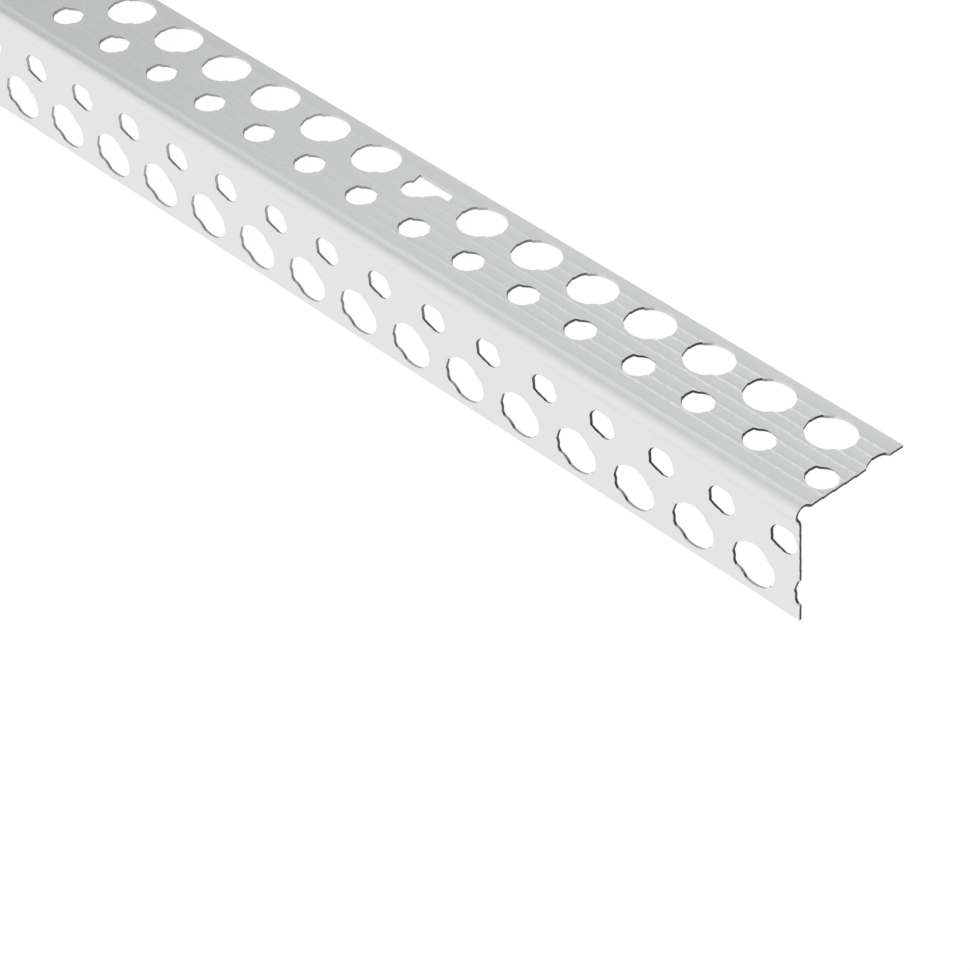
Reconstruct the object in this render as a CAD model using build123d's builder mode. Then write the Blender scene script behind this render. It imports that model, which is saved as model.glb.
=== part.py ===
import os
from math import ceil, cos, floor, radians, sin, tan

from build123d import *

# Sheet and section of the bead, in millimetres
LENGTH = 2500.0
SHEET = 0.5
WING = 25.0  # from the corner where the outer faces would meet to the edge of each wing
WING_ANGLE = 82.0  # inside, between the wings
NOSE_RADIUS = 1.7  # of the outer face
NOSE_PROUD = 0.85  # how far the nose stands out of the plane of each wing's outer face
RAMP_ANGLE = 30.0  # slope of the sheet from the nose down to the wing
RAMP_FILLET = 1.0

# Punched holes, in two staggered rows on each wing
PITCH = 13.3
LARGE_RADIUS = 4.65
SMALL_RADIUS = 3.0
LARGE_ROW = 18.8  # from the corner to the row of large holes
SMALL_ROW = 8.75
NEAR_CUT = 9.9  # from the last whole large hole to the near cut end

# The hole that the punch left unfinished, in the +Y wing's row of large holes
UNFINISHED_COUNT = 7  # pitches behind the last whole large hole
UNFINISHED_LOBE_REACH = 4.35  # from the row's place for the hole to the lobe's side
UNFINISHED_SLOT_REACH = 4.65  # from there to the end of the slot
UNFINISHED_OUTER = 21.0  # its straight side, from the corner
UNFINISHED_INNER = 14.65  # the end of its lobe, from the corner
UNFINISHED_SLOT = 2.1  # width of the slot that leads out of the lobe
UNFINISHED_LOBE = 3.75  # flat width of the lobe's end
UNFINISHED_SLOPE = 3.2  # how far the sheet left in the hole slopes back from the lobe to the slot
UNFINISHED_RADII = (2.2, 1.2, 1.2, 0, 0.9)  # at its corners, from the lobe's side to the slot's far corner

# The bead lies on the edges of its wings with its nose up, and the floor is at Z = 0
HALF_ANGLE = radians(WING_ANGLE / 2)
CORNER_Z = WING * cos(HALF_ANGLE) + SHEET * sin(HALF_ANGLE)
NEAR_END = LENGTH / 2
LAST_HOLE = NEAR_END - NEAR_CUT


def wing_point(along, out):
    """A point of the section's +Y half: along the wing from the corner, and out of its outer face."""
    return (
        along * sin(HALF_ANGLE) + out * cos(HALF_ANGLE),
        CORNER_Z - along * cos(HALF_ANGLE) + out * sin(HALF_ANGLE),
    )


def wing_plane(side):
    """The outer face of a wing: X along the bead, and side * Y from the corner to the edge."""
    return Plane(
        origin=(0, 0, CORNER_Z),
        x_dir=(1, 0, 0),
        z_dir=(0, side * cos(HALF_ANGLE), sin(HALF_ANGLE)),
    )


def row_places(offset):
    """X of every hole in a row, from its offset to the last whole large hole, cut holes included."""
    first = ceil((-NEAR_END - LARGE_RADIUS - LAST_HOLE - offset) / PITCH)
    last = floor((NEAR_END + LARGE_RADIUS - LAST_HOLE - offset) / PITCH)
    return [LAST_HOLE + offset + n * PITCH for n in range(first, last + 1)]


# The nose is an arc about a centre on the bead's plane of symmetry, and a ramp leaves it for each wing
ramp_angle = radians(RAMP_ANGLE)
nose_inside = NOSE_RADIUS - NOSE_PROUD
nose_depth = nose_inside / sin(HALF_ANGLE)
nose_top = (0, CORNER_Z - nose_depth + NOSE_RADIUS)
ramp_top_along = nose_depth * cos(HALF_ANGLE) + NOSE_RADIUS * sin(ramp_angle)
ramp_top_out = NOSE_RADIUS * cos(ramp_angle) - nose_inside
ramp_foot_along = ramp_top_along + ramp_top_out / tan(ramp_angle)

large_places = row_places(0)
small_places = row_places(PITCH / 2)
unfinished_x = LAST_HOLE - UNFINISHED_COUNT * PITCH
finished_places = [x for x in large_places if abs(x - unfinished_x) > PITCH / 2]

with BuildPart() as corner_bead:
    # The strip: one half of the outer face, mirrored, then thickened inwards
    with BuildSketch(Plane.YZ):
        with BuildLine():
            wing_line = Line(wing_point(WING, 0), wing_point(ramp_foot_along, 0))
            ramp_line = Line(wing_line @ 1, wing_point(ramp_top_along, ramp_top_out))
            fillet(vertices().sort_by_distance(wing_line @ 1)[0], RAMP_FILLET)
            TangentArc(ramp_line @ 1, nose_top, tangent=ramp_line % 1)
            mirror(about=Plane.YZ)
            offset(amount=SHEET, side=Side.LEFT)
        make_face()
    extrude(amount=LENGTH / 2, both=True)

    # The punched holes of each wing, of which the cut ends leave parts
    for side, whole_places in ((1, finished_places), (-1, large_places)):
        with BuildSketch(wing_plane(side)):
            with Locations([(x, side * LARGE_ROW) for x in whole_places]):
                Circle(LARGE_RADIUS)
            with Locations([(x, side * SMALL_ROW) for x in small_places]):
                Circle(SMALL_RADIUS)
        extrude(amount=SHEET, both=True, mode=Mode.SUBTRACT)

    # The unfinished hole: a round lobe, and a slot beside the sheet that the punch left in place
    with BuildSketch(wing_plane(1)):
        with BuildLine():
            far_x = unfinished_x - UNFINISHED_LOBE_REACH
            near_x = unfinished_x + UNFINISHED_SLOT_REACH
            lobe_x = far_x + UNFINISHED_LOBE
            slot_x = lobe_x + UNFINISHED_SLOPE
            slot_y = UNFINISHED_OUTER - UNFINISHED_SLOT
            FilletPolyline(
                (far_x, UNFINISHED_OUTER),
                (far_x, UNFINISHED_INNER),
                (lobe_x, UNFINISHED_INNER),
                (slot_x, slot_y),
                (near_x, slot_y),
                (near_x, UNFINISHED_OUTER),
                radius=(0, *UNFINISHED_RADII),
                close=True,
            )
        make_face()
    extrude(amount=SHEET, both=True, mode=Mode.SUBTRACT)

corner_bead.part.label = "corner_bead"
os.makedirs("parts", exist_ok=True)
export_step(corner_bead.part, "parts/corner_bead.step")
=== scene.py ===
from math import cos, pi, radians, sin, tan

import bpy
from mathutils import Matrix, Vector


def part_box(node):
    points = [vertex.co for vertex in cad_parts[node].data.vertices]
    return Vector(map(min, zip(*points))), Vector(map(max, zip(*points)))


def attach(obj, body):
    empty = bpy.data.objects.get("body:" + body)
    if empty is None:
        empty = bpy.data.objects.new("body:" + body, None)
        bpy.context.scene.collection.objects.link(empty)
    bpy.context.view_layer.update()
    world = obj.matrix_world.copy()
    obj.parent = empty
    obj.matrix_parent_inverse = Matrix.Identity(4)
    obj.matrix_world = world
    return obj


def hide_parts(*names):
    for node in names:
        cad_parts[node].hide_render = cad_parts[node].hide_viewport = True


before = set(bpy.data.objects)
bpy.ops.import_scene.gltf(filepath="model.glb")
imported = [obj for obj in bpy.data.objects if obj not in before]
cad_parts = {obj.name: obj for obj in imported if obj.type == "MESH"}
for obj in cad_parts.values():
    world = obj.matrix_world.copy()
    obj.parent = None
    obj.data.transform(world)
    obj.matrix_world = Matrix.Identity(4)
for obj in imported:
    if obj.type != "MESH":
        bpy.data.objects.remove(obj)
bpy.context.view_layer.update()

MM = 0.001
SAME_PLACE = 0.01 * MM
CUT_FUZZ = 0.001 * MM
SQUARE_ON = 0.99  # of a normal along X, on the open end of a cell

# Section of the bead, as it lies on the edges of its wings with the nose up
BEAD_LOW, BEAD_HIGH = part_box("corner_bead")
NEAR_END = BEAD_HIGH[0]
FAR_END = BEAD_LOW[0]
SHEET = 0.5 * MM
WING = 25.0 * MM  # from the corner where the wings' outer faces would meet
HALF_ANGLE = radians(41)  # between each wing and the upright plane through the nose
CORNER_Z = WING * cos(HALF_ANGLE) + SHEET * sin(HALF_ANGLE)
NOSE_RADIUS = 1.7 * MM
NOSE_PROUD = 0.85 * MM
NOSE_STEPS = 6
RAMP_ANGLE = radians(33)

# The sheet turns from the ramp into the wing through a shallow hollow
FOOT_ROUNDING = 0.2 * MM
FOOT_FLAT = 0.3 * MM
FOOT_HOLLOW = 0.05 * MM
FOOT_REACH = 0.5 * MM

# The roller leaves the nose a little towards the -Y wing, and the wings are back in place this far from it
NOSE_SHIFT = -0.42 * MM  # along Y
SHIFT_REACH = 20 * MM

# Seven fine lines are pressed along each wing: the sheet drops at a line and rises slowly to the next
LINE_COUNT = 7
FIRST_LINE = 5.68 * MM
LINE_GAP = 2.635 * MM
CROWN = 0.07 * MM
VALLEY = -0.11 * MM
HALF_DROP = 0.2 * MM  # half the width over which it drops
SHOULDER_AFTER_LINE = 1.0 * MM
FULL_RELIEF = 1.0  # of the +Y wing's lines
FAINT_RELIEF = 0.4  # of the -Y wing's lines
SMOOTH_ANGLE = radians(17)  # the drops are steeper, so they stay crisp

# Punched holes
PITCH = 13.3 * MM
LARGE_ROW = 18.8 * MM
SMALL_ROW = 8.75 * MM
NEAR_CUT = 9.9 * MM
LAST_HOLE = NEAR_END - NEAR_CUT
NEAREST_CELL = -1  # pitches behind the last whole large hole, so the near end cuts through it
SPARE_CELLS = 3  # made past the far end, and cut away there
PUNCH_SIDES = {"large": 32, "small": 24}
PUNCH_ROWS = {"large": LARGE_ROW, "small": SMALL_ROW}
PUNCH_DEPTH = 4 * MM

# Each punch by its wing and size, in millimetres: its radius, how far it leans within the sheet along X and
# away from the nose, and the dents in its rim. A dent has a direction in degrees, where 0 is +X and 90 is
# away from the nose, and a depth, which is less than 0 for a bulge.
PUNCHES = {
    (1, "large"): (
        4.6,
        (0.05, 0.0),
        ((322, 0.25), (228, 0.15), (196, 0.15), (150, -0.1)),
    ),
    (-1, "large"): (
        4.6,
        (0.1, 0.05),
        (
            (47, 0.2),
            (128, 0.35),
            (150, -0.2),
            (169, 0.15),
            (197, 0.15),
            (232, 0.2),
            (275, -0.15),
            (318, 0.35),
        ),
    ),
    (1, "small"): (
        2.95,
        (0.12, 0.2),
        ((30, 0.12), (46, 0.2), (150, -0.2), (210, 0.1), (232, 0.1), (330, 0.1), (352, 0.15)),
    ),
    (-1, "small"): (
        2.85,
        (0.15, 0.2),
        ((46, 0.2), (105, 0.2), (120, 0.12), (150, -0.35), (262, 0.1), (307, -0.25)),
    ),
}
DENT_REACH = radians(9)

# The hole that the punch left unfinished, measured from its row's place for it and from the corner
UNFINISHED_COUNT = 7  # pitches behind the last whole large hole
UNFINISHED_LOBE_REACH = 4.35 * MM
UNFINISHED_SLOT_REACH = 4.65 * MM
UNFINISHED_OUTER = 21.0 * MM
UNFINISHED_INNER = 14.65 * MM
UNFINISHED_SLOT = 2.1 * MM
UNFINISHED_LOBE = 3.75 * MM
UNFINISHED_SLOPE = 3.2 * MM
DENT_LEVEL = 18.95 * MM
DENT_DEPTH = 0.4 * MM
BULGE_LEVEL = 17.8 * MM
BULGE_DEPTH = 0.1 * MM
LOBE_FAR_BEVEL = 2.8 * MM
LOBE_NEAR_BEVEL = 0.9 * MM
SLOT_INNER_BEVEL = 0.8 * MM
SLOT_END_BEVEL = 1.3 * MM
BEVEL_STEPS = 6

# Each pressed line and the ramp get a painted highlight in short slanted strokes, with painted shade just
# outside them
STROKE_LENGTH = 2.1 * MM
STROKE_WANDER_SCALE = 300.0
STROKE_STRENGTH_SCALE = 800.0
STROKE_STRENGTH_RANGE = (0.35, 0.65)  # of a noise, from the weakest stroke to the strongest
WEAKEST_STROKE = 0.5
STRONGEST_STROKE = 1.3
STROKE_SWAY = 0.15 * MM
STROKE_HALF = 0.42 * MM  # half a stroke's width
STROKE_CORE = 0.3 * STROKE_HALF
STROKE_HIGHLIGHT = 0.13
RAMP_MIDDLE = 2.3 * MM
RAMP_HIGHLIGHT = 0.08
LINE_SHADE_BAND = (0.35 * MM, 0.525 * MM, 0.7 * MM, 1.3 * MM)  # from a line: starts, full from, full to, ends
LINE_SHADE = 0.03

# Past the last line the edge of the +Y wing is a little darker, and the -Y wing has painted light along the
# nose's foot
MARGIN_START = 21.8 * MM
MARGIN_END = 22.4 * MM
MARGIN_LOSS = 0.035
FOOT_LIGHT_BAND = (2.25 * MM, 2.6 * MM, 2.8 * MM, 3.2 * MM)  # from the corner
FOOT_PAINTED_LIGHT = 0.045

# Painted shade darkens the +Y wing towards the far end, over half of this length, and its painted strokes
# fade out there too
FADE_CYCLE = 420 * MM
DARKEST_FAR_SHADE = 0.12
FAR_SHADE_POWER = 3.0  # the higher, the shorter the shaded stretch
FADING_START = 0.05  # of the way from the near end to half a cycle on
FADING_END = 0.5
FAR_STROKE_SHADE = -0.3  # painted shade, slightly darker than the sheet, which hides the drop of the line there

# Rolled sheet: its grain is drawn out along X, and its tone and roughness run between two values
NOISE_RANGE = (0.3, 0.7)  # in which nearly all of a noise lies
GRAIN_SCALE = (60, 2500, 2500)
GRAIN_DEPTH = 0.004 * MM
GRAIN_ROUGHNESS = (-0.03, 0.03)
CLOUD_SCALE = 45.0
CLOUD_ROUGHNESS = (0.54, 0.6)
MILL_TONES = ((0.775, 0.78, 0.775, 1), (0.815, 0.82, 0.815, 1))

# Cut faces: within this reach of the corner they face along X, and elsewhere they hardly face outwards
NOSE_REACH = 4 * MM
CUT_ALONG_X = 0.8
CUT_OUTWARDS = 0.65
TEAR_SCALE = 2600.0
TEAR_DEPTH = 0.01 * MM
TEAR_ROUGHNESS = (0.45, 0.65)
LIT_AND_SHADED_TONES = ((0.86, 0.865, 0.86, 1), (0.5, 0.505, 0.5, 1))  # painted lit tone facing -Y and painted shaded tone facing +Y
# painted shade: the dark tone of the walls that face along X
WALL_SHADE_TONE = (0.075, 0.078, 0.08, 1)
EITHER_WAY = 0.3  # of a normal: how far it turns from one look to the other

# A wall is painted dark, standing in for shade, where it faces along X, and lighter where it faces across
# the bead
DARK_UP_TO = radians(32)
LIGHTER_FROM = radians(56)
RAGGEDNESS = 0.3  # of the change from the painted dark to the lighter tone, in radians
SMALL_ROW_TURN = radians(-32)  # so the walls of the small holes are painted dark nearly all round
TURN_BEYOND_HOLE = radians(-5)  # for the walls that face the nose
TURN_BEFORE_HOLE = radians(12)  # for the walls that face away from it
LESS_SHADE_FROM = 0.1  # of the way from the near end to half a cycle on
LEAST_SHADE_FROM = 0.7
LEAST_SHADE = 0.5

# The studio's light by its tilt in degrees, from the -Y side through straight up to the +Y side
STUDIO_LEVELS = (
    (-90, 1.06),
    (-50, 1.07),
    (-25, 1.05),
    (-5, 0.98),
    (12, 0.92),
    (35, 0.89),
    (55, 0.9),
    (72, 0.72),
    (90, 0.5),
)
RED_LOSS = 0.03  # of the light that comes level from +Y
BLUE_LOSS = 0.005
FAR_LEVEL = 0.55  # the share left of the light that comes from +Y past the far end
FAR_RANGE = (-0.95, -0.5)  # X of the direction it comes from, from that share to the whole of it
PLUS_Y_RANGE = (0.0, 0.4)  # Y of that direction, from the middle to the side where this holds

# The floor glows for the camera and for reflections, and the rest of it keeps the bead's shadow
FLOOR_SIZE = 40
FLOOR_COLOUR = (0.8, 0.8, 0.8, 1)
FLOOR_GLOW = 1.09
FLOOR_GLOW_SHARE = 0.85

# The camera, fitted to the centres of the holes in the photograph
CAMERA_PLACE = (1.50988, 0.02782, 0.50625)
CAMERA_TURN = (radians(13.8107), radians(30.3422), radians(35.3740))
CAMERA_LENS = 130.781
CAMERA_SENSOR = 36


def clear_selection():
    if bpy.context.object and bpy.context.object.mode != "OBJECT":
        bpy.ops.object.mode_set(mode="OBJECT")
    bpy.ops.object.select_all(action="DESELECT")


def make_active(piece):
    clear_selection()
    piece.select_set(True)
    bpy.context.view_layer.objects.active = piece


def edit(piece):
    """Opens a piece in edit mode with nothing selected."""
    make_active(piece)
    bpy.ops.object.mode_set(mode="EDIT")
    bpy.ops.mesh.select_all(action="DESELECT")


def select_parts(piece, kind, wanted):
    """Selects the vertices, edges or faces of the edited piece for which wanted(item) is true."""
    bpy.ops.mesh.select_mode(type=kind)
    bpy.ops.mesh.select_all(action="DESELECT")
    bpy.ops.object.mode_set(mode="OBJECT")
    mesh = piece.data
    items = {"VERT": mesh.vertices, "EDGE": mesh.edges, "FACE": mesh.polygons}[kind]
    for item in items:
        item.select = wanted(item)
    bpy.ops.object.mode_set(mode="EDIT")


def select_corner(piece, x, y, z):
    """Selects the one vertex of the edited piece that is at a place."""
    place = Vector((x, y, z))
    select_parts(piece, "VERT", lambda vertex: (vertex.co - place).length < SAME_PLACE)


def apply_place(piece):
    """Moves a piece's place and turn into its mesh."""
    make_active(piece)
    bpy.ops.object.transform_apply(location=True, rotation=True, scale=True)


def apply_modifier(piece, kind, **settings):
    make_active(piece)
    modifier = piece.modifiers.new(kind.title(), kind)
    for setting, value in settings.items():
        setattr(modifier, setting, value)
    bpy.ops.object.modifier_apply(modifier=modifier.name)


def copy_of(piece, name):
    copy = piece.copy()
    copy.data = piece.data.copy()
    copy.name = name
    bpy.context.collection.objects.link(copy)
    return copy


def join(pieces):
    make_active(pieces[0])
    for piece in pieces[1:]:
        piece.select_set(True)
    bpy.ops.object.join()
    return pieces[0]


def wing_point(along, out, side=1):
    """Y and Z of a point of the section: along a wing from the corner, and out of its outer face."""
    return (
        side * (along * sin(HALF_ANGLE) + out * cos(HALF_ANGLE)),
        CORNER_Z - along * cos(HALF_ANGLE) + out * sin(HALF_ANGLE),
    )


def along_wing(y, z):
    """How far a point lies along its wing from the corner."""
    return abs(y) * sin(HALF_ANGLE) + (CORNER_Z - z) * cos(HALF_ANGLE)


def away_from_nose(side):
    """The direction along a wing from the nose to the edge."""
    return Vector((0, side * sin(HALF_ANGLE), -cos(HALF_ANGLE)))


def out_of_wing(side):
    """The direction that the outer face of a wing faces."""
    return Vector((0, side * cos(HALF_ANGLE), sin(HALF_ANGLE)))


def half_section(relief):
    """The outer face's outline from the edge of the +Y wing to the top of the nose."""
    # The wing with its pressed lines
    outline = [wing_point(WING, 0)]
    for number in reversed(range(LINE_COUNT)):
        line = FIRST_LINE + number * LINE_GAP
        if line + LINE_GAP < WING:
            outline.append(wing_point(line + SHOULDER_AFTER_LINE, 0))
        outline.append(wing_point(line + HALF_DROP, VALLEY * relief))
        outline.append(wing_point(line - HALF_DROP, CROWN * relief))

    # The foot of the ramp, where the sheet turns through its hollow
    nose_inside = NOSE_RADIUS - NOSE_PROUD
    nose_depth = nose_inside / sin(HALF_ANGLE)
    ramp_top = nose_depth * cos(HALF_ANGLE) + NOSE_RADIUS * sin(RAMP_ANGLE)
    ramp_rise = NOSE_RADIUS * cos(RAMP_ANGLE) - nose_inside
    ramp_foot = ramp_top + ramp_rise / tan(RAMP_ANGLE)
    rounding = FOOT_ROUNDING / relief
    hollow = FOOT_HOLLOW * relief
    outline.append(wing_point(ramp_foot + FOOT_REACH * (1 + 1 / relief), 0))
    outline.append(wing_point(ramp_foot + rounding + FOOT_FLAT, -hollow))
    outline.append(wing_point(ramp_foot + rounding, -hollow))
    outline.append(wing_point(ramp_foot - rounding * cos(RAMP_ANGLE), rounding * sin(RAMP_ANGLE)))

    # The round of the nose, from the top of the ramp
    first = HALF_ANGLE - RAMP_ANGLE
    for step in range(NOSE_STEPS + 1):
        turn = first + (pi / 2 - first) * step / NOSE_STEPS
        height = CORNER_Z - nose_depth + NOSE_RADIUS * sin(turn)
        outline.append((NOSE_RADIUS * cos(turn), min(height, BEAD_HIGH[2])))
    return outline


def with_nose_shift(y, z):
    """A point of the symmetrical section, moved as the roller leaves the nose."""
    return y + NOSE_SHIFT * max(0, 1 - max(0, along_wing(y, z)) / SHIFT_REACH), z


def strip_cell():
    """One pitch of the plain strip: the section drawn out along X and given the sheet's thickness."""
    other_half = [(-y, z) for y, z in reversed(half_section(FAINT_RELIEF)[:-1])]
    outline = [with_nose_shift(y, z) for y, z in half_section(FULL_RELIEF) + other_half]
    bpy.ops.mesh.primitive_plane_add(size=PITCH, location=(0, 0, 0))
    cell = bpy.context.object
    cell.name = "plain_cell"
    edit(cell)
    select_parts(cell, "VERT", lambda vertex: vertex.co.y > 0)
    bpy.ops.mesh.delete(type="VERT")
    bpy.ops.mesh.select_all(action="SELECT")
    bpy.ops.transform.translate(value=(0, outline[0][0] + PITCH / 2, outline[0][1]))
    for (y0, z0), (y1, z1) in zip(outline, outline[1:]):
        bpy.ops.mesh.extrude_edges_move(TRANSFORM_OT_translate={"value": (0, y1 - y0, z1 - z0)})
    bpy.ops.object.mode_set(mode="OBJECT")
    nose = max(cell.data.polygons, key=lambda face: face.center.z)
    if nose.normal.z < 0:
        edit(cell)
        bpy.ops.mesh.select_all(action="SELECT")
        bpy.ops.mesh.flip_normals()
    clear_selection()
    apply_modifier(cell, "SOLIDIFY", thickness=SHEET, offset=-1, use_even_offset=True)
    return cell


def punch(x, side, size):
    """A punch set square to a wing, with its lean and the dents in its rim."""
    radius, (lean_x, lean_out), dents = PUNCHES[side, size]
    centre = Vector((x, *wing_point(PUNCH_ROWS[size], 0, side)))
    from_nose = away_from_nose(side)
    outwards = out_of_wing(side)
    bpy.ops.mesh.primitive_cylinder_add(
        vertices=PUNCH_SIDES[size],
        radius=radius * MM,
        depth=PUNCH_DEPTH,
        location=centre,
        rotation=(side * (HALF_ANGLE - pi / 2), 0, 0),
    )
    tool = bpy.context.object
    apply_place(tool)
    edit(tool)
    for direction, depth in dents:
        towards = Vector((cos(radians(direction)), 0, 0)) + sin(radians(direction)) * from_nose

        def is_dented(vertex):
            arm = vertex.co - centre
            return (arm - arm.dot(outwards) * outwards).angle(towards) < DENT_REACH

        select_parts(tool, "VERT", is_dented)
        bpy.ops.transform.translate(value=-depth * MM * towards)

    # The lean is given across the sheet, and the punch reaches past it both ways
    lean = (lean_x * Vector((1, 0, 0)) + lean_out * from_nose) * MM * PUNCH_DEPTH / 2 / SHEET
    for way in (1, -1):
        select_parts(tool, "VERT", lambda vertex: (vertex.co - centre).dot(outwards) * way > 0)
        bpy.ops.transform.translate(value=-way * lean)
    clear_selection()
    return tool


def unfinished_punch():
    """The outline of the unfinished hole, drawn flat, drawn out and set square to the +Y wing."""
    slot_y = UNFINISHED_OUTER - UNFINISHED_SLOT
    far_x, near_x = -UNFINISHED_LOBE_REACH, UNFINISHED_SLOT_REACH
    lobe_x = far_x + UNFINISHED_LOBE
    slot_x = lobe_x + UNFINISHED_SLOPE
    top = PUNCH_DEPTH / 2
    bpy.ops.mesh.primitive_plane_add(size=1, location=(0, 0, 0))
    tool = bpy.context.object
    tool.dimensions = (near_x - far_x, UNFINISHED_SLOT, 0)
    tool.location = ((near_x + far_x) / 2, UNFINISHED_OUTER - UNFINISHED_SLOT / 2, top)
    apply_place(tool)
    edit(tool)
    bpy.ops.mesh.select_all(action="SELECT")
    bpy.ops.mesh.bisect(plane_co=(slot_x, 0, 0), plane_no=(1, 0, 0), threshold=CUT_FUZZ)

    def is_lobe_edge(edge):
        ends = [tool.data.vertices[number].co for number in edge.vertices]
        return all(end.y < slot_y + SAME_PLACE and end.x < slot_x + SAME_PLACE for end in ends)

    def is_lobe_end(vertex):
        return vertex.co.y < slot_y - SAME_PLACE and vertex.co.x > far_x + SAME_PLACE

    select_parts(tool, "EDGE", is_lobe_edge)
    bpy.ops.mesh.extrude_edges_move(TRANSFORM_OT_translate={"value": (0, UNFINISHED_INNER - slot_y, 0)})
    select_parts(tool, "VERT", is_lobe_end)
    bpy.ops.transform.translate(value=(-UNFINISHED_SLOPE, 0, 0))
    bpy.ops.mesh.select_all(action="SELECT")
    bpy.ops.mesh.dissolve_limited(angle_limit=radians(1))
    for level in (DENT_LEVEL, BULGE_LEVEL):
        bpy.ops.mesh.select_all(action="SELECT")
        bpy.ops.mesh.bisect(plane_co=(0, level, 0), plane_no=(0, 1, 0), threshold=CUT_FUZZ)
    for level, inwards in ((DENT_LEVEL, DENT_DEPTH), (BULGE_LEVEL, -BULGE_DEPTH)):
        select_corner(tool, far_x, level, top)
        bpy.ops.transform.translate(value=(inwards, 0, 0))
    for x, y, size in (
        (far_x, UNFINISHED_INNER, LOBE_FAR_BEVEL),
        (lobe_x, UNFINISHED_INNER, LOBE_NEAR_BEVEL),
        (slot_x, slot_y, SLOT_INNER_BEVEL),
        (near_x, UNFINISHED_OUTER, SLOT_END_BEVEL),
    ):
        select_corner(tool, x, y, top)
        bpy.ops.mesh.bevel(affect="VERTICES", offset=size, offset_type="OFFSET", segments=BEVEL_STEPS)
    bpy.ops.mesh.select_all(action="SELECT")
    bpy.ops.mesh.extrude_region_move(TRANSFORM_OT_translate={"value": (0, 0, -PUNCH_DEPTH)})
    bpy.ops.mesh.select_all(action="SELECT")
    bpy.ops.mesh.normals_make_consistent(inside=False)
    bpy.ops.object.mode_set(mode="OBJECT")
    tool.rotation_euler = (HALF_ANGLE - pi / 2, 0, 0)
    tool.location = (0, 0, CORNER_Z)
    apply_place(tool)
    return tool


def punched(cell, large_punch):
    """A cell cut by its punches: the given one in the +Y wing, and round ones everywhere else."""
    tools = [large_punch, punch(0, -1, "large")]
    for side in (1, -1):
        for x in (-PITCH / 2, PITCH / 2):
            tools.append(punch(x, side, "small"))
    tool = join(tools)
    apply_modifier(cell, "BOOLEAN", object=tool, operation="DIFFERENCE", solver="EXACT")
    bpy.data.objects.remove(tool)
    edit(cell)
    end = PITCH / 2 - SAME_PLACE
    select_parts(cell, "FACE", lambda face: abs(face.center.x) > end and abs(face.normal.x) > SQUARE_ON)
    bpy.ops.mesh.delete(type="FACE")
    clear_selection()
    return cell


def run_of(cell, first, count):
    """A row of cells that starts so many pitches behind the last whole large hole."""
    run = copy_of(cell, f"run_{first}")
    apply_modifier(
        run,
        "ARRAY",
        count=count,
        use_relative_offset=False,
        use_constant_offset=True,
        constant_offset_displace=(-PITCH, 0, 0),
        use_merge_vertices=True,
        merge_threshold=SAME_PLACE,
    )
    run.location.x = LAST_HOLE - first * PITCH
    apply_place(run)
    return run


def corner_bead():
    """The whole bead: cells in a row, joined, and cut square at both ends."""
    plain = strip_cell()
    unfinished = punched(copy_of(plain, "unfinished_cell"), unfinished_punch())
    regular = punched(plain, punch(0, 1, "large"))
    after_unfinished = UNFINISHED_COUNT + 1
    beyond_far_end = int((LAST_HOLE - FAR_END) / PITCH) + SPARE_CELLS
    runs = [
        run_of(regular, NEAREST_CELL, UNFINISHED_COUNT - NEAREST_CELL),
        run_of(unfinished, UNFINISHED_COUNT, 1),
        run_of(regular, after_unfinished, beyond_far_end - after_unfinished),
    ]
    bpy.data.objects.remove(regular)
    bpy.data.objects.remove(unfinished)
    bead = join(runs)
    bead.name = "pressed_bead"
    edit(bead)
    bpy.ops.mesh.select_all(action="SELECT")
    bpy.ops.mesh.remove_doubles(threshold=SAME_PLACE)
    for end, outwards in ((NEAR_END, 1), (FAR_END, -1)):
        bpy.ops.mesh.select_all(action="SELECT")
        bpy.ops.mesh.bisect(
            plane_co=(end, 0, 0),
            plane_no=(outwards, 0, 0),
            threshold=CUT_FUZZ,
            clear_outer=True,
            use_fill=True,
        )
    bpy.ops.mesh.select_all(action="SELECT")
    bpy.ops.mesh.normals_make_consistent(inside=False)
    bpy.ops.mesh.quads_convert_to_tris(quad_method="BEAUTY", ngon_method="BEAUTY")
    bpy.ops.object.mode_set(mode="OBJECT")
    bpy.ops.object.shade_smooth_by_angle(angle=SMOOTH_ANGLE)
    return bead


def add_node(owner, kind, operation=None, data_type=None, **values):
    """Adds a shader node, with its named or numbered inputs (i0, i1) set or, from a socket, linked."""
    node = owner.node_tree.nodes.new(kind)
    if operation:
        node.operation = operation
    if data_type:
        node.data_type = data_type
    for key, value in values.items():
        socket = node.inputs[int(key[1:])] if key[0] == "i" and key[1:].isdigit() else node.inputs[key]
        if isinstance(value, bpy.types.NodeSocket):
            owner.node_tree.links.new(value, socket)
        else:
            socket.default_value = value
    return node


def maths(owner, operation, first, second=0.0, third=0.0):
    return add_node(owner, "ShaderNodeMath", operation, i0=first, i1=second, i2=third).outputs[0]


def axes_of(owner, place):
    return add_node(owner, "ShaderNodeSeparateXYZ", i0=place).outputs


def noise(owner, place, scale, detail):
    return add_node(owner, "ShaderNodeTexNoise", Vector=place, Scale=scale, Detail=detail).outputs["Fac"]


def mixed(owner, share, first, second):
    """A colour between two, from the first where the share is 0 to the second where it is 1."""
    mix = add_node(owner, "ShaderNodeMix", data_type="RGBA", i0=share, i6=first, i7=second)
    return mix.outputs[2]


def slope(owner, value, start, end, low, high):
    """Goes from low where the value is up to start to high where it is past end."""
    return add_node(owner, "ShaderNodeMapRange", i0=value, i1=start, i2=end, i3=low, i4=high).outputs[0]


def ranged(owner, value, low, high):
    """Spreads a noise over a range."""
    return slope(owner, value, *NOISE_RANGE, low, high)


def band(owner, value, places, height):
    """Rises from 0 to the height between the first two places, and falls between the last two."""
    start, full_from, full_to, end = places
    rising = slope(owner, value, start, full_from, 0.0, height)
    return maths(owner, "MULTIPLY", rising, slope(owner, value, full_to, end, 1.0, 0.0))


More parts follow.
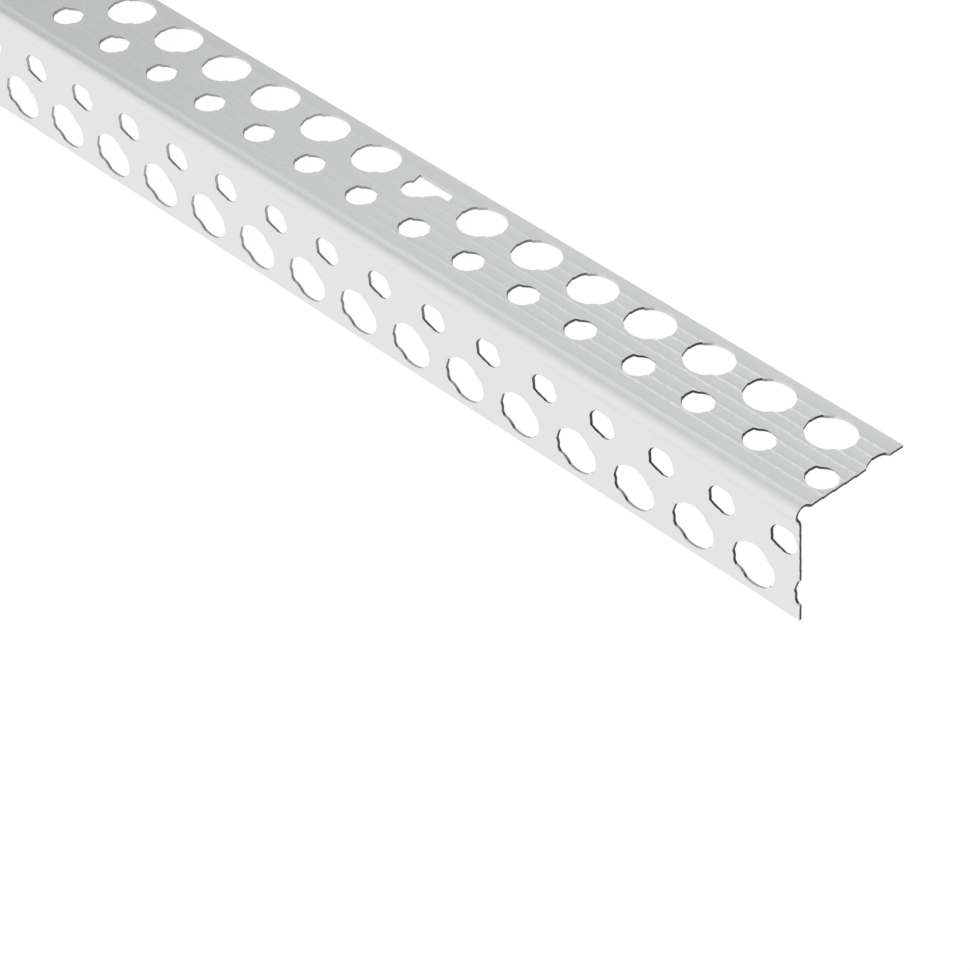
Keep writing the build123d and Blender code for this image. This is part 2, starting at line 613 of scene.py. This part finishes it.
def bare_metal(material, colour, roughness, relief, depth):
    """Makes a material's shader bare metal with a fine relief."""
    shader = material.node_tree.nodes["Principled BSDF"]
    shader.inputs["Metallic"].default_value = 1
    normal = add_node(material, "ShaderNodeBump", Height=relief, Distance=depth, Strength=1.0).outputs[0]
    for name, socket in (("Base Color", colour), ("Roughness", roughness), ("Normal", normal)):
        material.node_tree.links.new(socket, shader.inputs[name])


def from_corner(material, place):
    """How far a point lies along its wing from the corner, with the nose's shift taken back out."""
    axes = axes_of(material, place)
    outwards = maths(material, "MULTIPLY", maths(material, "ABSOLUTE", axes[1]), sin(HALF_ANGLE))
    down = maths(material, "MULTIPLY", maths(material, "SUBTRACT", CORNER_Z, axes[2]), cos(HALF_ANGLE))
    along = maths(material, "ADD", outwards, down)
    shifted = slope(material, along, 0.0, SHIFT_REACH, NOSE_SHIFT * sin(HALF_ANGLE), 0.0)
    moved = maths(material, "MULTIPLY", shifted, maths(material, "SIGN", axes[1]))
    return maths(material, "SUBTRACT", along, moved)


def far_fade(material, place):
    """From 0 at the near end to 1 half a cycle further on, for the painted light and shade that change
    along the bead.
    """
    from_near_end = maths(material, "SUBTRACT", NEAR_END, axes_of(material, place)[0])
    turned = maths(material, "MULTIPLY", from_near_end, 2 * pi / FADE_CYCLE)
    return maths(material, "MULTIPLY_ADD", maths(material, "COSINE", turned), -0.5, 0.5)


def painted_stroke_light(material, place, along):
    """Painted highlights of the strokes on the ramp and the lines, less the painted shade beside them."""
    x = axes_of(material, place)[0]
    wander = noise(material, place, STROKE_WANDER_SCALE, 1.0)
    moved = maths(material, "MULTIPLY_ADD", wander, 2 * STROKE_LENGTH, x)
    stroke = maths(material, "WRAP", moved, STROKE_LENGTH / 2, -STROKE_LENGTH / 2)
    sway = maths(material, "MULTIPLY", stroke, 2 * STROKE_SWAY / STROKE_LENGTH)
    uneven = noise(material, place, STROKE_STRENGTH_SCALE, 1.0)
    strength = slope(material, uneven, *STROKE_STRENGTH_RANGE, WEAKEST_STROKE, STRONGEST_STROKE)
    from_first = maths(material, "SUBTRACT", along, FIRST_LINE)
    to_line = maths(material, "WRAP", from_first, LINE_GAP / 2, -LINE_GAP / 2)
    to_ramp = maths(material, "SUBTRACT", along, RAMP_MIDDLE)
    past_ramp = maths(material, "GREATER_THAN", along, FIRST_LINE - LINE_GAP / 2)
    before_edge = maths(material, "LESS_THAN", along, FIRST_LINE + (LINE_COUNT - 0.5) * LINE_GAP)
    gains = []
    for distance, share, lightness in (
        (to_line, maths(material, "MULTIPLY", past_ramp, before_edge), STROKE_HIGHLIGHT),
        (to_ramp, maths(material, "SUBTRACT", 1.0, past_ramp), RAMP_HIGHLIGHT),
    ):
        swayed = maths(material, "ABSOLUTE", maths(material, "ADD", distance, sway))
        # painted highlight within a stroke, and painted shade just outside it
        bright = slope(material, swayed, STROKE_CORE, STROKE_HALF, lightness, 0.0)
        painted_shade = band(material, distance, LINE_SHADE_BAND, LINE_SHADE)
        gain = maths(material, "SUBTRACT", maths(material, "MULTIPLY", bright, strength), painted_shade)
        gains.append(maths(material, "MULTIPLY", gain, share))
    return maths(material, "ADD", *gains)


def painted_light_and_shade(material, place):
    """Painted light and shade in the sheet's colour: more than 0 for painted highlights, less than 0 for
    painted shade and the darker edge.
    """
    along = from_corner(material, place)
    far_share = far_fade(material, place)
    fading = slope(material, far_share, FADING_START, FADING_END, 1.0, FAR_STROKE_SHADE)
    strokes = maths(material, "MULTIPLY", painted_stroke_light(material, place, along), fading)
    margin = slope(material, along, MARGIN_START, MARGIN_END, 0.0, MARGIN_LOSS)
    # painted shade that grows towards the far end of the +Y wing
    far_shade = maths(material, "MULTIPLY", maths(material, "POWER", far_share, FAR_SHADE_POWER), DARKEST_FAR_SHADE)
    lost = maths(material, "ADD", margin, far_shade)
    # painted light along the -Y wing's foot, which lifts a shaded reflection there
    foot_light = band(material, along, FOOT_LIGHT_BAND, FOOT_PAINTED_LIGHT)
    on_plus_y = maths(material, "GREATER_THAN", axes_of(material, place)[1], 0.0)
    plus_y = maths(material, "MULTIPLY", maths(material, "SUBTRACT", strokes, lost), on_plus_y)
    minus_y = maths(material, "MULTIPLY", foot_light, maths(material, "SUBTRACT", 1.0, on_plus_y))
    return maths(material, "ADD", plus_y, minus_y)


def mill_aluminium():
    """Rolled sheet as the mill leaves it: satin, with a faint grain along the bead, and painted highlights
    and painted shade in its colour.
    """
    material = bpy.data.materials.new("mill aluminium")
    material.use_nodes = True
    place = add_node(material, "ShaderNodeTexCoord").outputs["Object"]
    drawn_out = add_node(material, "ShaderNodeMapping", i0=place, i3=GRAIN_SCALE).outputs[0]
    grain = noise(material, drawn_out, 1.0, 3.0)
    cloud = noise(material, place, CLOUD_SCALE, 2.0)
    tone = mixed(material, grain, *MILL_TONES)
    # the colour is scaled by painted highlights and painted shade
    painted_light_scale = maths(material, "ADD", 1.0, painted_light_and_shade(material, place))
    base = add_node(material, "ShaderNodeVectorMath", "SCALE", i0=tone, i3=painted_light_scale).outputs[0]
    cloudy = ranged(material, cloud, *CLOUD_ROUGHNESS)
    rough = maths(material, "ADD", cloudy, ranged(material, grain, *GRAIN_ROUGHNESS))
    bare_metal(material, base, rough, grain, GRAIN_DEPTH)
    return material


def wall_shade_share(material, place, facing, ragged):
    """How much of a wall is painted dark as shade: most where it faces along X, towards the near end."""
    normal = axes_of(material, facing)
    side = maths(material, "SIGN", axes_of(material, place)[1])
    sideways = maths(material, "MULTIPLY", maths(material, "MULTIPLY", normal[1], side), sin(HALF_ANGLE))
    from_nose = maths(material, "MULTIPLY_ADD", normal[2], -cos(HALF_ANGLE), sideways)
    across = maths(material, "ABSOLUTE", from_nose)
    turn = maths(material, "ARCTAN2", across, maths(material, "ABSOLUTE", normal[0]))
    spread = maths(material, "MULTIPLY_ADD", ragged, RAGGEDNESS, -RAGGEDNESS / 2)
    leaning = slope(material, from_nose, -EITHER_WAY, EITHER_WAY, TURN_BEYOND_HOLE, TURN_BEFORE_HOLE)
    in_small_row = maths(material, "LESS_THAN", from_corner(material, place), (SMALL_ROW + LARGE_ROW) / 2)
    by_row = maths(material, "MULTIPLY_ADD", in_small_row, SMALL_ROW_TURN, leaning)
    wall_turn = maths(material, "ADD", maths(material, "ADD", turn, spread), by_row)
    dark_wall = slope(material, wall_turn, DARK_UP_TO, LIGHTER_FROM, 1.0, 0.0)
    far_share = far_fade(material, place)
    far_fading = slope(material, far_share, LESS_SHADE_FROM, LEAST_SHADE_FROM, 1.0, LEAST_SHADE)
    return maths(material, "MULTIPLY", dark_wall, far_fading)


def sheared_edge():
    """Edges that the shear and the punches leave, with painted shade: dark where they face along X and
    lighter across, painted lit facing -Y and painted shaded facing +Y.
    """
    material = bpy.data.materials.new("sheared edge")
    material.use_nodes = True
    texture = add_node(material, "ShaderNodeTexCoord").outputs
    ragged = noise(material, texture["Object"], TEAR_SCALE, 3.0)
    share = wall_shade_share(material, texture["Object"], texture["Normal"], ragged)
    facing_y = axes_of(material, texture["Normal"])[1]
    # painted light and shade by side: lighter facing -Y, darker facing +Y
    side_light_tone = mixed(material, slope(material, facing_y, -EITHER_WAY, EITHER_WAY, 0.0, 1.0), *LIT_AND_SHADED_TONES)
    tone = mixed(material, share, side_light_tone, WALL_SHADE_TONE)
    bare_metal(material, tone, ranged(material, ragged, *TEAR_ROUGHNESS), ragged, TEAR_DEPTH)
    return material


def is_sheared(face):
    """True for a face that cuts through the sheet: a hole's wall, a cut end or a wing's long edge."""
    centre = face.center
    if along_wing(centre.y, centre.z) < NOSE_REACH:
        return abs(face.normal.x) > CUT_ALONG_X
    side = 1 if centre.y > 0 else -1
    return abs(face.normal.dot(out_of_wing(side))) < CUT_OUTWARDS


def finish_surfaces(bead):
    """Gives the bead the mill aluminium, and its cut faces the sheared edge."""
    bead.data.materials.clear()
    bead.data.materials.append(mill_aluminium())
    bead.data.materials.append(sheared_edge())
    edit(bead)
    select_parts(bead, "FACE", is_sheared)
    bead.active_material_index = 1
    bpy.ops.object.material_slot_assign()
    clear_selection()


def seen_rays(material, share):
    """The given share for rays from the camera, a reflection or a transmission, and none for the rest."""
    path = add_node(material, "ShaderNodeLightPath").outputs
    camera_or_gloss = maths(material, "MAXIMUM", path["Is Camera Ray"], path["Is Glossy Ray"])
    any_seen = maths(material, "MAXIMUM", camera_or_gloss, path["Is Transmission Ray"])
    return maths(material, "MULTIPLY", any_seen, share)


def white_floor():
    """A floor that the camera and reflections see as white, with a faint shadow of the bead."""
    bpy.ops.mesh.primitive_plane_add(size=FLOOR_SIZE, location=(0, 0, 0))
    floor = bpy.context.object
    floor.name = "floor"
    material = bpy.data.materials.new("white floor")
    material.use_nodes = True
    material.node_tree.nodes.clear()
    matt = add_node(material, "ShaderNodeBsdfDiffuse", Color=FLOOR_COLOUR).outputs[0]
    glow = add_node(material, "ShaderNodeEmission", Strength=FLOOR_GLOW).outputs[0]
    seen = seen_rays(material, FLOOR_GLOW_SHARE)
    surface = add_node(material, "ShaderNodeMixShader", i0=seen, i1=matt, i2=glow).outputs[0]
    add_node(material, "ShaderNodeOutputMaterial", Surface=surface)
    floor.data.materials.append(material)


def studio_world():
    """Soft light all round, brightest from the side of the -Y wing and dullest low on the other side."""
    world = bpy.data.worlds.new("studio")
    bpy.context.scene.world = world
    world.use_nodes = True
    axes = axes_of(world, add_node(world, "ShaderNodeTexCoord").outputs["Generated"])
    tilt = maths(world, "ARCTAN2", axes[1], axes[2])
    ramp = add_node(world, "ShaderNodeValToRGB", i0=slope(world, tilt, -pi / 2, pi / 2, 0.0, 1.0))
    stops = ramp.color_ramp.elements
    for angle, _ in STUDIO_LEVELS[1:-1]:
        stops.new((angle + 90) / 180)
    for stop, (angle, level) in zip(stops, STUDIO_LEVELS):
        low = max(0.0, angle) / 90
        stop.color = (level * (1 - RED_LOSS * low), level, level * (1 - BLUE_LOSS * low), 1)
    by_distance = slope(world, axes[0], *FAR_RANGE, FAR_LEVEL, 1.0)
    on_plus_y = slope(world, axes[1], *PLUS_Y_RANGE, 0.0, 1.0)
    lost = maths(world, "MULTIPLY", on_plus_y, maths(world, "SUBTRACT", 1.0, by_distance))
    kept = maths(world, "SUBTRACT", 1.0, lost)
    light = add_node(world, "ShaderNodeVectorMath", "SCALE", i0=ramp.outputs[0], i3=kept).outputs[0]
    from_camera = add_node(world, "ShaderNodeLightPath").outputs["Is Camera Ray"]
    seen = mixed(world, from_camera, light, (1, 1, 1, 1))
    world.node_tree.links.new(seen, world.node_tree.nodes["Background"].inputs["Color"])


def photo_camera():
    bpy.ops.object.camera_add(location=CAMERA_PLACE, rotation=CAMERA_TURN)
    camera = bpy.context.object
    camera.data.lens = CAMERA_LENS
    camera.data.sensor_width = CAMERA_SENSOR
    camera.data.clip_start = 10 * MM
    bpy.context.scene.camera = camera


bead = corner_bead()
finish_surfaces(bead)
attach(bead, "root")
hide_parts("corner_bead")
white_floor()
studio_world()
photo_camera()
bpy.context.scene.view_settings.view_transform = "Standard"
